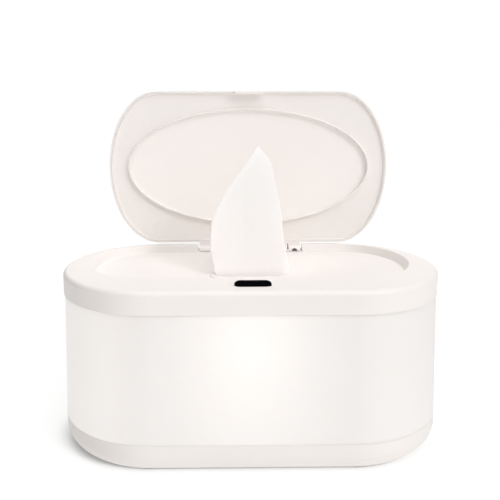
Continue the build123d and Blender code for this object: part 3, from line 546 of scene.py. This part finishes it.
# ------------------------------------------------------------------ springs as wound wire
def tube(name, path, radius, material, sides=10):
    """Round wire along points, with closed rounded ends."""
    pts = [Vector(p) for p in path]
    verts, faces, rings = [], [], []
    tangent = (pts[1] - pts[0]).normalized()
    side = tangent.orthogonal().normalized()
    for i, p in enumerate(pts):
        t = (pts[min(i + 1, len(pts) - 1)] - pts[max(i - 1, 0)]).normalized()
        q = tangent.rotation_difference(t)
        side = (q @ side).normalized()
        tangent = t
        up = t.cross(side)
        ring = []
        for k in range(sides):
            a = 2 * math.pi * k / sides
            ring.append(len(verts))
            verts.append(p + (side * math.cos(a) + up * math.sin(a)) * radius)
        rings.append(ring)
    for a, b in zip(rings, rings[1:]):
        for k in range(sides):
            j = (k + 1) % sides
            faces.append((a[k], a[j], b[j], b[k]))
    for ring, end, inner in ((rings[0], pts[0], pts[1]), (rings[-1], pts[-1], pts[-2])):
        c = len(verts)
        verts.append(end + (end - inner).normalized() * radius * 0.5)
        for k in range(sides):
            faces.append((ring[k], ring[(k + 1) % sides], c))
    return mesh_object(name, verts, faces, material)


def make_springs():
    hy, hz = 85.5, 119.5
    # torsion spring round the hinge pin: the leg at its left end is on the lid, the other stands in the notch
    x0, length, turns, r = 32.5, 6.65, 7, 1.8
    path = [(x0 - 0.40, hy + 0.5, hz + 4.55), (x0 - 0.40, hy - 1.2, hz + 4.6), (x0 - 0.40, hy - 1.68, hz + 4.45), (x0 - 0.385, hy - 1.8, hz + 4.0)]
    path += [(x0 - 0.084 * d, hy - r, hz + d) for d in (3.4, 2.6, 1.8, 1.0)]
    n = 40 * turns
    for i in range(n + 1):
        a = 2 * math.pi * i / 40
        path.append((x0 + length * i / n, hy - r * math.cos(a), hz - r * math.sin(a)))
    path += [(x0 + length + 0.084 * d, hy - r, hz - d) for d in (1.0, 2.0, 3.0, 3.45)]
    # blackened wire; where the coil shows in the notch, its near-black colour also stands in for the shade in that gap
    o = tube("hinge_torsion_spring", [(x / 1000, y / 1000, z / 1000) for x, y, z in path], 0.0003, MATS["dark_steel"])
    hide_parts("hinge_spring")
    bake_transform(o)
    # coil spring round the plunger, between the solenoid and the bolt
    y0, y1, r, turns = -65.75, -60.25, 2.9, 4.5
    path = []
    n = int(40 * turns)
    for i in range(n + 1):
        f = i / n
        a = 2 * math.pi * turns * f
        # closed end coils
        g = f + 0.055 * math.sin(2 * math.pi * f) * -1.0
        path.append((r * math.cos(a), y0 + 0.25 + (y1 - y0 - 0.5) * g, 114.4 + r * math.sin(a)))
    o = tube("latch_return_spring", [(x / 1000, y / 1000, z / 1000) for x, y, z in path], 0.00025, MATS["steel"])
    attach(o, "top")
    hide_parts("latch_spring")
    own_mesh(o)


make_springs()

# ------------------------------------------------------------------ stage and light
def make_floor():
    me = bpy.data.meshes.new("floor")
    bm = bmesh.new()
    bmesh.ops.create_grid(bm, x_segments=8, y_segments=8, size=4.0)
    bm.to_mesh(me)
    bm.free()
    o = bpy.data.objects.new("floor", me)
    scene.collection.objects.link(o)
    m = Mat("floor_painted_contact_shadow")
    m.link(m.ramp(m.noise(3.0), [(0.0, (0.49, 0.49, 0.49, 1)), (1.0, (0.51, 0.51, 0.51, 1))]), "Base Color")
    # glows like a light table, with a painted contact shadow: the glow drops close round the body, wider on its left
    x, y, z = m.sep(m.co)
    left = m.math("LESS_THAN", x, 0.0)
    run = m.math("MAXIMUM", m.math("SUBTRACT", m.math("ABSOLUTE", x), 0.068), 0.0)

    def ring(end_l, end_r, half):
        end = m.math("ADD", m.math("MULTIPLY", left, end_l - end_r), end_r)
        a, b = m.math("DIVIDE", run, end), m.math("DIVIDE", y, half)
        return m.math("SQRT", m.math("ADD", m.math("MULTIPLY", a, a), m.math("MULTIPLY", b, b)))

    # painted shadow band round the footprint, wider on the left side
    inner, outer = ring(0.060, 0.054, 0.0766), ring(0.080, 0.058, 0.0816)
    t = m.math("DIVIDE", m.math("SUBTRACT", inner, 1.0), m.math("MAXIMUM", m.math("SUBTRACT", inner, outer), 0.0001))
    m.link(m.vmath("SCALE", (1.0, 1.0, 1.0), scale=m.maprange(t, 0.0, 1.0, 0.16, 0.55, smooth=True)), "Emission Color")
    m.set(Roughness=0.9, Specular_IOR_Level=0.0, Emission_Strength=1.0)
    me.materials.append(m.m)
    return o


make_floor()


def sun(name, toward, strength, angle, color=(1, 1, 1)):
    d = bpy.data.lights.new(name, "SUN")
    d.energy = strength
    d.angle = math.radians(angle)
    d.color = color
    o = bpy.data.objects.new(name, d)
    scene.collection.objects.link(o)
    o.rotation_euler = Vector(toward).to_track_quat("Z", "Y").to_euler()
    return o


sun("key", (0.60, -0.60, 0.50), 0.53, 20.0)

# ------------------------------------------------------------------ studio: soft boxes in a dark room, white backdrop
world = bpy.data.worlds.new("world")
scene.world = world
world.use_nodes = True
wt = world.node_tree
wt.nodes.clear()
wo = wt.nodes.new("ShaderNodeOutputWorld")
bg = wt.nodes.new("ShaderNodeBackground")
wt.links.new(bg.outputs[0], wo.inputs[0])
tc = wt.nodes.new("ShaderNodeTexCoord")


def wmath(op, a, b=None):
    n = wt.nodes.new("ShaderNodeMath")
    n.operation = op
    for i, v in enumerate((a, b)):
        if v is None:
            continue
        if isinstance(v, (int, float)):
            n.inputs[i].default_value = v
        else:
            wt.links.new(v, n.inputs[i])
    return n.outputs[0]


def toward(az, el):
    d = wt.nodes.new("ShaderNodeVectorMath")
    d.operation = "DOT_PRODUCT"
    wt.links.new(tc.outputs["Generated"], d.inputs[0])
    a, e = math.radians(az), math.radians(el)
    d.inputs[1].default_value = (math.cos(a) * math.cos(e), math.sin(a) * math.cos(e), math.sin(e))
    return wmath("MAXIMUM", d.outputs["Value"], 0.0)


SOFT_BOXES = [  # azimuth from +X, height, spread, strength
    (90, 15, 12, 0.66), (90, 50, 8, 0.74), (270, 15, 12, 0.38), (290, 50, 8, 1.96), (330, 15, 12, 0.38), (0, 90, 8, 2.32),
]
total = None
for az, el, power, k in SOFT_BOXES:
    lobe = wmath("MULTIPLY", wmath("POWER", toward(az, el), float(power)), k)
    total = lobe if total is None else wmath("ADD", total, lobe)
drop = wt.nodes.new("ShaderNodeMapRange")
drop.interpolation_type = "SMOOTHSTEP"
drop.inputs["From Min"].default_value = 0.88
drop.inputs["From Max"].default_value = 0.94
drop.inputs["To Max"].default_value = 1.02
wt.links.new(toward(90, 0), drop.inputs["Value"])
total = wmath("MAXIMUM", total, drop.outputs["Result"])
# whatever the direction, the backdrop itself is plain white
seen = wt.nodes.new("ShaderNodeLightPath").outputs["Is Camera Ray"]
total = wmath("MAXIMUM", total, seen)
wt.links.new(total, bg.inputs["Color"])
bg.inputs["Strength"].default_value = 1.0
